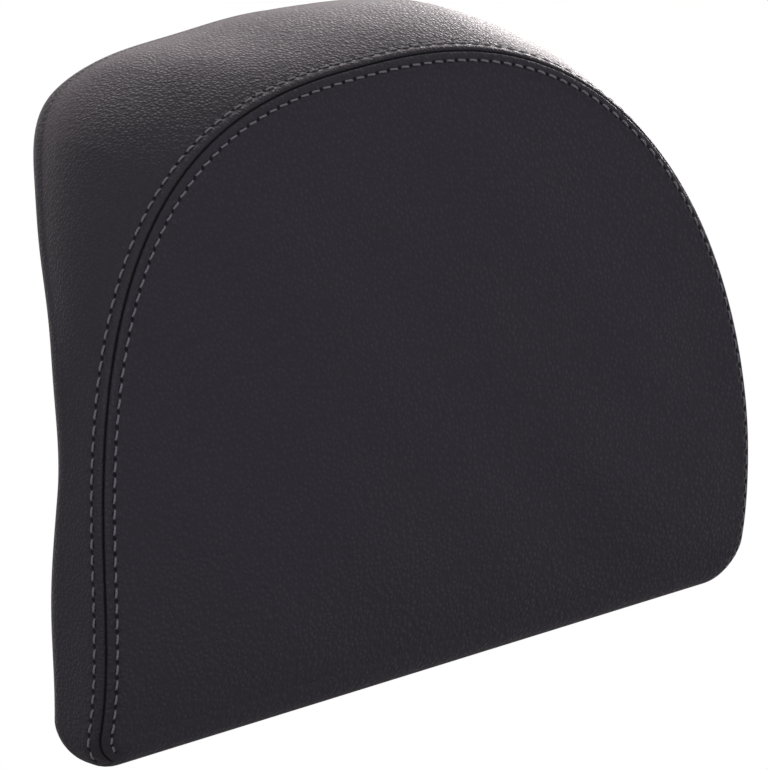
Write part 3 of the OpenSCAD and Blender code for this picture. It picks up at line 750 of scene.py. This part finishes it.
@dataclass(frozen=True)
class Webbing(Finish):
    """Plain-woven tape."""

    colour: Colour
    yarn: float = 0.0008

    def nodes(self, g: Graph, shader: Node, place: Socket) -> None:
        """A chequer of yarns that pass over and under, with painted shade on the yarns that pass under."""
        # Painted shade: every other square of the chequer is darkened, for the yarns that pass under.
        under_yarn_shade = g.add("ShaderNodeTexChecker", {"Vector": place, "Scale": 1.0 / self.yarn}).outputs["Fac"]
        fuzz = g.noise(place, 0.0003, 2.0)
        tone = g.blend(under_yarn_shade, rgba(self.colour), rgba(self.colour, 0.6))
        g.feed(shader, {"Base Color": tone, "Roughness": 0.9})
        bump(g, shader, [(fuzz, 0.0001)])


# ---- The soft pad ----


class StitchSide(Enum):
    """Which side of the seam a row of stitches lies on."""

    PANEL = -1
    BAND = 1


@dataclass(frozen=True)
class StitchRow:
    """One row of topstitching: its side, how far it lies from the seam, and its thread."""

    side: StitchSide
    away: float
    name: str
    node: str
    pitch: float = STITCH_PITCH
    radius: float = 0.00036
    visible: float = 0.0036
    slant: float = 0.0002
    rings: int = 8
    sides: int = 6

    def build(self, path: Array, normals: Array, along: Array) -> Piece:
        """Makes the row's stitches.

        A stitch is a tube whose middle line rises out of one needle hole and sinks into the next, as a power
        curve of its length, slightly slanted. All stitches are one array: the path is interpolated at every
        ring, and a circle is carried along in the frame of tangent, normal and side.

        Args:
            path: points of the row on the leather.
            normals: the leather's normals there.
            along: the seam length at each point of the path.

        Returns:
            The stitches as one object.
        """
        count = int(along[-1] / self.pitch)
        middle = (np.arange(count) + 0.5) * self.pitch
        t = np.linspace(-1, 1, self.rings)
        at = middle[:, None] + 0.5 * self.visible * t[None, :]
        tangent = unit(np.gradient(path, axis=0))

        def sampled(values: Array) -> Array:
            """Values of the path carried to every ring."""
            return np.stack([np.interp(at, along, values[:, k]) for k in range(3)], -1)

        point, run, up = sampled(path), unit(sampled(tangent)), unit(sampled(normals))
        side = unit(np.cross(run, up))
        lift = self.radius * (0.8 - 2.3 * np.abs(t) ** 5)
        centre = point + lift[None, :, None] * up + (self.slant * t)[None, :, None] * side
        girth = self.radius * (1 - 0.25 * np.abs(t) ** 4)
        turn = 2 * np.pi * np.arange(self.sides) / self.sides
        ring = (np.cos(turn)[None, None, :, None] * up[:, :, None, :] * 0.85
                + np.sin(turn)[None, None, :, None] * side[:, :, None, :])
        points = centre[:, :, None, :] + girth[None, :, None, None] * ring
        one = grid_faces(self.rings, self.sides, closed=True)
        step = self.rings * self.sides
        cap = np.array([[0, 1, 2, 3], [0, 3, 4, 5]])
        caps = np.concatenate([cap[:, ::-1], (self.rings - 1) * self.sides + cap])
        starts = (np.arange(count) * step)[:, None, None]
        faces = np.concatenate([(quads[None] + starts).reshape(-1, 4) for quads in (one, caps)])
        shape = (count, self.rings, self.sides)
        values = {"run": np.broadcast_to(at[:, :, None], shape).reshape(-1),
                  "turn": np.broadcast_to(np.arange(self.sides) / self.sides, shape).reshape(-1)}
        made = make_mesh(self.name, points.reshape(-1, 3), faces, values)
        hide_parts(self.node)
        return made


@dataclass
class SoftPad:
    """The upholstered pad: leather panel and band, their seam and stitches, and the foam inside."""

    body: str = "pad"
    shape: PadShape = field(default_factory=PadShape)
    sewn_columns: int = 700
    under_columns: int = 150
    valley: float = 0.0008
    valley_w: float = 0.00042
    lip: float = 0.00008
    channel: float = 0.00018
    lip_away: float = 0.0018
    lip_w: float = 0.0009
    channel_w: float = 0.0008
    swell: float = 0.0003
    waves: tuple[tuple[Triple, float, float], ...] = (
        ((62, 0, 35), 0.4, 1.0), ((-41, 30, 88), 1.1, 1.0), ((120, 0, 96), 2.0, 0.7))
    leather_t: float = 0.0012
    foam_under: float = 0.002
    soft_t: float = 0.012
    foam_gap: float = 0.001
    foam_crown: float = 0.0018
    shell_depth: float = 0.0082
    firm_least: float = 0.0015
    rim_inset: float = 0.008
    panel_lip: float = 4.15
    band_lip: float = 4.3
    panel_row: StitchRow = StitchRow(StitchSide.PANEL, PANEL_ROW_AWAY, "panel_topstitching",
                                     "front_stitching")
    band_row: StitchRow = StitchRow(StitchSide.BAND, BAND_ROW_AWAY, "band_topstitching", "band_stitching")

    def __post_init__(self) -> None:
        """Works out the outline, and how far the shape moves to sit in the hard parts' frame."""
        self.line = self.shape.outline(self.sewn_columns, self.under_columns)
        raw = self.shape.surface(self.line.points, np.linspace(0, 5, 120)).reshape(-1, 3)
        low = np.array(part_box("front_panel")[0])
        self.origin = np.array([0.0, low[1] - raw[:, 1].min(), low[2] - raw[:, 2].min()])

    def places(self) -> tuple[Array, int]:
        """Places on the section that the leather's rows lie at, close together near the seam.

        Returns:
            The places, and the number of the row on the seam.
        """
        before = runs((0, 0.9, 14), (0.93, 0.99, 4), (1.0, 1.5, 22), (1.51, self.shape.seam_s, 5))
        after = runs((1.56, 2.0, 22), (2.02, 2.98, 20), (3.0, 4.0, 12), (4.03, self.band_lip, 7))
        return np.concatenate([before, after]), len(before) - 1

    def relief(self, across: Array, mask: Array, plain: Array) -> Array:
        """Height of the leather over its plain surface.

        The seam is a narrow valley, minus a peaked bell curve of the distance. Each side has a low padded lip
        and a shallow channel under its stitches, both bell curves. Away from the seam the padding swells
        unevenly, as the sum of three slow waves of the place.

        Args:
            across: signed distance from the seam.
            mask: 1 where the seam is sewn, 0 along the bottom.
            plain: the points of the plain surface.

        Returns:
            The heights.
        """

        def bells(places: tuple[float, float], width: float) -> Array:
            """Two bell curves of the distance, each 1 high at its place."""
            return sum(np.exp(-(((across - at) / width) ** 2)) for at in places)

        seam = -self.valley * np.exp(-np.abs(across / self.valley_w) ** 1.5)
        lips = self.lip * bells((-self.lip_away, self.lip_away), self.lip_w)
        channels = -self.channel * bells((-self.panel_row.away, self.band_row.away), self.channel_w)
        wave = sum(size * np.sin(plain @ np.array(way) + start) for way, start, size in self.waves)
        return mask * (seam + lips + channels) + self.swell * wave * smooth_step(np.abs(across), 0.006, 0.03)

    def build(self) -> list[Piece]:
        """Makes every soft piece and puts it on the pad's body.

        Returns:
            The pieces.
        """
        line, (s, seam) = self.line, self.places()
        n = len(line.points)
        plain = self.shape.surface(line.points, s) + self.origin
        normal = surface_normals(plain, np.array([0.0, 0.035, 0.09]) + self.origin)
        normal[0] = np.array([0.0, -1.0, 0.0])
        across = lengths_along(plain)
        across -= across[seam]
        columns = np.arange(n)
        sewn = (columns < line.sewn).astype(float)
        ease = smooth_step(columns.astype(float), 0, 4) * smooth_step(line.sewn - 1.0 - columns, 0, 4)
        points = plain + self.relief(across, sewn * ease, plain)[..., None] * normal
        along = np.interp(columns, columns[:line.sewn], lengths_along(plain[seam, :line.sewn]))
        values = {label: np.broadcast_to(numbers, across.shape).reshape(-1)
                  for label, numbers in (("along", along), ("across", across), ("sewn", sewn))}
        flat = points.reshape(-1, 3)
        quads = grid_faces(len(s), n, closed=True)[:, ::-1]
        row, column = quads[:, 3] // n, quads[:, 3] % n
        under = column >= line.sewn - 1
        shown = (row < seam) | (under & (s[row] < self.panel_lip))
        pieces = [self.leather("front_leather_panel", flat, quads[shown & (row > 0)], values, "front_panel",
                               LEATHERS[0], middle_fan(n)),
                  self.leather("side_leather_band", flat, quads[(row >= seam) & ~under], values, "side_band",
                               LEATHERS[1])]
        for stitches in (self.panel_row, self.band_row):
            pieces.append(self.stitch(stitches, points, normal, across, along))
        pieces += self.foam()
        for piece in pieces:
            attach(piece, self.body)
        return pieces

    def leather(self, name: str, points: Array, quads: Array, values: dict[str, Array], node: str,
                finish: Finish, fan: Array | None = None) -> Piece:
        """Makes one piece of leather with its thickness.

        Args:
            name: the piece's name.
            points: all the pad's points.
            quads: the quads that belong to this piece.
            values: the distances kept for each point.
            node: the plain solid it stands for.
            finish: the leather it is made of.
            fan: triangles of the face's middle.

        Returns:
            The piece.
        """
        made = make_mesh(name, points, quads, values, fan)
        wall = made.modifiers.new("thickness", "SOLIDIFY")
        wall.thickness = self.leather_t
        wall.offset = -1.0
        return pad_out(made, node, finish)

    def stitch(self, row: StitchRow, points: Array, normal: Array, across: Array, along: Array) -> Piece:
        """Finds the row's path on the leather and makes its stitches.

        Args:
            row: the row to make.
            points: grid of the leather's points.
            normal: grid of its normals.
            across: grid of signed distances from the seam.
            along: seam length at each column.

        Returns:
            The stitches.
        """
        sewn = self.line.sewn
        away = row.side.value * row.away
        above = np.argmax(across[:, :sewn] >= away, axis=0)
        column = np.arange(sewn)
        low, high = across[above - 1, column], across[above, column]
        share = ((away - low) / (high - low))[:, None]
        path = points[above - 1, column] * (1 - share) + points[above, column] * share
        made = row.build(path, unit(normal[above, column]), along[:sewn])
        THREAD.dress(made)
        return made

    def foam(self) -> list[Piece]:
        """Makes the two layers of foam under the leather.

        Each layer is a closed shell: the pad's own surface a little under the leather, cut by a face that
        keeps the soft layer's thickness from the front.

        Returns:
            The soft layer and the firm layer.
        """
        line = self.shape.outline(160, 60).points
        skin, soft_t, gap = self.foam_under, self.soft_t, self.foam_gap

        def shell(name: str, loops: Array, node: str, finish: Finish) -> Piece:
            """Closes a stack of loops whose first and last loops are single points."""
            rows, n = loops.shape[:2]
            j = np.arange(n)
            inner = grid_faces(rows, n, closed=True)[:, ::-1]
            inner = inner[(inner[:, 3] >= n) & (inner[:, 3] < (rows - 2) * n)]
            last = np.stack([np.full(n, (rows - 1) * n), (rows - 2) * n + (j + 1) % n, (rows - 2) * n + j], 1)
            ends = np.concatenate([middle_fan(n), last])
            made = make_mesh(name, loops.reshape(-1, 3) + self.origin, inner, extra=ends)
            return pad_out(made, node, finish)

        front = self.shape.surface(line, runs((0, 1, 12), (1.1, 2, 8)), skin)
        edge = front[-1]
        deepest = self.shape.surface(line, np.array([3.0]), skin)[0, :, 1]

        def inward(k: Array, rim: Array) -> tuple[Array, Array]:
            """Points of the rim drawn towards the middle by k."""
            k = k[:, None]
            return k * rim[None, :, 0], self.shape.middle_z + k * (rim[None, :, 2] - self.shape.middle_z)

        k = np.linspace(1, 0, 12)
        x, z = inward(k, edge)
        crown = self.foam_crown * (1 - k[:, None] ** 2)
        y = np.minimum(self.shape.face(z) + skin + soft_t - crown,
                       self.shape.top_y + (deepest[None] - self.shape.top_y) * k[:, None])
        soft = np.concatenate([front, np.stack([x, y, z], -1)])
        below = np.maximum(line[:, 3], 0)[:, None] * self.rim_inset
        rim = edge.copy()
        rim[:, [0, 2]] += line[:, 2:] * below
        x, z = inward(k[::-1], rim)
        lead = self.shape.face(z) + skin + soft_t + gap - crown[::-1]
        fade = runs((1, 0.85, 12), (0.8, 0, 16))
        x2, z2 = inward(fade, rim)
        rear = np.maximum(self.shape.back(z2) - self.shell_depth * self.shape.stretch(self.shape.back, z2),
                          self.shape.face(z2) + skin + soft_t + gap + self.firm_least
                          - self.foam_crown * (1 - fade[:, None] ** 2))
        firm = np.concatenate([np.stack([x, lead, z], -1), np.stack([x2, rear, z2], -1)])
        return [shell("soft_foam_layer", soft, "comfort_foam", SOFT_FOAM),
                shell("firm_foam_core", firm, "core_foam", FIRM_FOAM)]


# Each leather's second colour is the painted shade in its grain's valleys.
LEATHERS = (
    Leather("front leather", (0.026, 0.0225, 0.031), (0.015, 0.013, 0.018), 0.46, 0.0018, 0.00022, 0.00011,
            -PANEL_ROW_AWAY),
    Leather("band leather", (0.026, 0.0212, 0.0285), (0.014, 0.012, 0.016), 0.43, 0.0013, 0.0002, 0.00005,
            BAND_ROW_AWAY),
)
THREAD = Thread("grey thread", (0.25, 0.245, 0.255))
SOFT_FOAM = Foam("soft foam", (0.72, 0.66, 0.47))
FIRM_FOAM = Foam("firm foam", (0.55, 0.52, 0.45), 0.0016)


# ---- Hard parts ----


@dataclass(frozen=True)
class HardParts:
    """The modelled hard parts of one sub-assembly, and the finish of each."""

    title: str
    finishes: dict[str, Finish]

    def dress(self) -> None:
        """Puts each finish on its part."""
        for node, finish in self.finishes.items():
            finish.dress(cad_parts[node])
            LOG.info("%s: %s in %s", self.title, node, finish.name)


COAT = PowderCoat("satin powder coat", (0.018, 0.018, 0.019), 0.42)
ZINC = Metal("zinc plate", (0.62, 0.62, 0.64), 0.34, fineness=900.0)
WIRE = Metal("galvanised wire", (0.16, 0.16, 0.165), 0.5, fineness=900.0)
BLACK_SCREW = Metal("blackened screws", (0.07, 0.07, 0.075), 0.4, fineness=1200.0)
NYLON = Plastic("natural nylon", (0.66, 0.63, 0.55), 0.42, wear=0.3)
GLASS_FILLED = Plastic("glass-filled plastic", (0.016, 0.016, 0.018), 0.5, 0.0004, 0.00004)
COVER = Plastic("textured cover plastic", (0.013, 0.013, 0.0145), 0.5, 0.0007, 0.00007, 0.4)


def hard_parts() -> list[HardParts]:
    """The three groups of hard parts with their finishes."""
    return [
        HardParts("pad frame", {"seam_tape": Webbing("seam tape", (0.03, 0.03, 0.03)),
                                "carrier_shell": Plywood(), "tee_nuts": ZINC, "staples": WIRE,
                                "rear_cover": COVER, "cover_screws": BLACK_SCREW, "hinge_bracket": COAT,
                                "bracket_screws": ZINC, "hinge_bushes": NYLON}),
        HardParts("carriage", {"carriage": GLASS_FILLED, "glide_liners": NYLON, "preload_screws": BLACK_SCREW,
                               "hinge_pin": ZINC, "lock_nut": ZINC,
                               "friction_washers": Metal("ground brass", (0.66, 0.5, 0.24), 0.3)}),
        HardParts("mount", {"mounting_plate": COAT, "rail_screws": ZINC, "rail_cap": GLASS_FILLED,
                            "rail": Metal("brushed steel", (0.56, 0.56, 0.57), 0.3, (1.0, 1.0, 0.03), 3000.0),
                            "rail_spacer": Metal("tumbled aluminium", (0.5, 0.5, 0.52), 0.42,
                                                 fineness=700.0)}),
    ]


# ---- Studio ----


WHITE = (1.0, 1.0, 1.0)
FLOOR_GREY = (0.3, 0.3, 0.3)


@dataclass(frozen=True)
class Softbox:
    """A soft area light that faces the pad."""

    name: str
    place: Triple
    size: float
    watts: float
    colour: Colour


@dataclass
class Studio:
    """The camera, the lights and the pale floor."""

    eye: Triple = (-2.36171, -2.47469, 1.08617)
    heading: float = 44.335
    down: float = 16.625
    roll: float = -0.305
    lens: float = 523.08
    floor_z: float = -0.5
    target: Triple = (0.0, -0.04, 0.08)
    dim: Colour = (0.40, 0.39, 0.43)
    bright: Colour = (1.0, 0.88, 0.90)
    bright_way: Triple = (0.69, 0.72, 0.0)
    boxes: tuple[Softbox, ...] = (
        Softbox("back right", (1.9, 1.05, 0.3), 0.9, 21.0, (1.0, 0.95, 0.95)),
        Softbox("front left", (-1.2, -1.3, 1.2), 1.4, 4.0, (0.97, 0.97, 1.0)),
        Softbox("top", (1.35, 1.35, 1.1), 1.2, 8.0, (1.0, 0.93, 0.94)),
    )

    def build(self) -> None:
        """Makes the camera, lights, background and floor."""
        a, e = math.radians(self.heading), math.radians(self.down)
        look = Vector((math.sin(a) * math.cos(e), math.cos(a) * math.cos(e), -math.sin(e)))
        right = Vector((math.cos(a), -math.sin(a), 0))
        up = right.cross(look)
        turn = Matrix((right, up, -look)).transposed()
        camera = linked("camera", bpy.data.cameras.new("camera"))
        camera.data.lens, camera.data.sensor_width = self.lens, 36.0
        camera.data.clip_start, camera.data.clip_end = 0.1, 50.0
        camera.matrix_world = (Matrix.Translation(self.eye) @ turn.to_4x4()
                               @ Matrix.Rotation(math.radians(self.roll), 4, "Z"))
        bpy.context.scene.camera = camera
        for box in self.boxes:
            lamp = bpy.data.lights.new(box.name, "AREA")
            lamp.shape, lamp.size, lamp.energy, lamp.color = "DISK", box.size, box.watts, box.colour
            made = linked(box.name, lamp)
            made.location = box.place
            aim = Vector(self.target) - Vector(box.place)
            made.rotation_euler = aim.to_track_quat("-Z", "Y").to_euler()
        bpy.context.scene.world = self.room()
        bpy.context.scene.view_settings.view_transform = "Standard"
        self.floor()

    def room(self) -> bpy.types.World:
        """A white background that lights the pad unevenly: dim all round, and bright from the back right.

        Returns:
            The world.
        """
        world = bpy.data.worlds.new("white room")
        world.use_nodes = True
        g = Graph(world.node_tree)
        way = g.add("ShaderNodeTexCoord").outputs["Generated"]
        toward = g.add("ShaderNodeVectorMath", {0: way, 1: self.bright_way},
                       operation="DOT_PRODUCT").outputs["Value"]
        light = g.blend(g.spread(toward, 0.5, 1.0), rgba(self.dim), rgba(self.bright))
        seen = g.add("ShaderNodeLightPath").outputs["Is Camera Ray"]
        sky = world.node_tree.nodes["Background"]
        g.feed(sky, {"Color": g.blend(seen, light, rgba(WHITE)), "Strength": 1.0})
        return world

    def floor(self) -> Piece:
        """A plain pale floor: a flat square, white to the camera and dim to the pad.

        Returns:
            The floor.
        """
        half = 0.8
        corners = [(x * half, y * half, self.floor_z) for x, y in ((-1, -1), (1, -1), (1, 1), (-1, 1))]
        made = make_mesh("floor", np.array(corners), np.array([[0, 1, 2, 3]]))
        paint = bpy.data.materials.new("pale floor")
        paint.use_nodes = True
        g = Graph(paint.node_tree)
        shader = paint.node_tree.nodes["Principled BSDF"]
        g.feed(shader, {"Base Color": rgba(FLOOR_GREY), "Roughness": 1.0, "Specular IOR Level": 0.0})
        glow = g.add("ShaderNodeEmission", {"Color": rgba(WHITE), "Strength": 1.0})
        seen = g.add("ShaderNodeLightPath").outputs["Is Camera Ray"]
        shown = g.add("ShaderNodeMixShader", {0: seen, 1: shader.outputs[0], 2: glow.outputs[0]})
        g.feed(paint.node_tree.nodes["Material Output"], {"Surface": shown.outputs[0]})
        made.data.materials.append(paint)
        return made


def main() -> None:
    """Builds the effects, the soft pad, the finishes and the studio, and reports each piece."""
    logging.basicConfig(level=logging.INFO, format="%(name)s: %(message)s")
    for effect in (pebble_grain, soft_creases, stitch_marks, handling_wear, brushed_lines, moulded_texture):
        effect()
    for piece in SoftPad().build():
        LOG.info("soft pad: %s, %d faces", piece.name, len(piece.data.polygons))
    for group in hard_parts():
        group.dress()
    Studio().build()


if __name__ == "__main__":
    main()
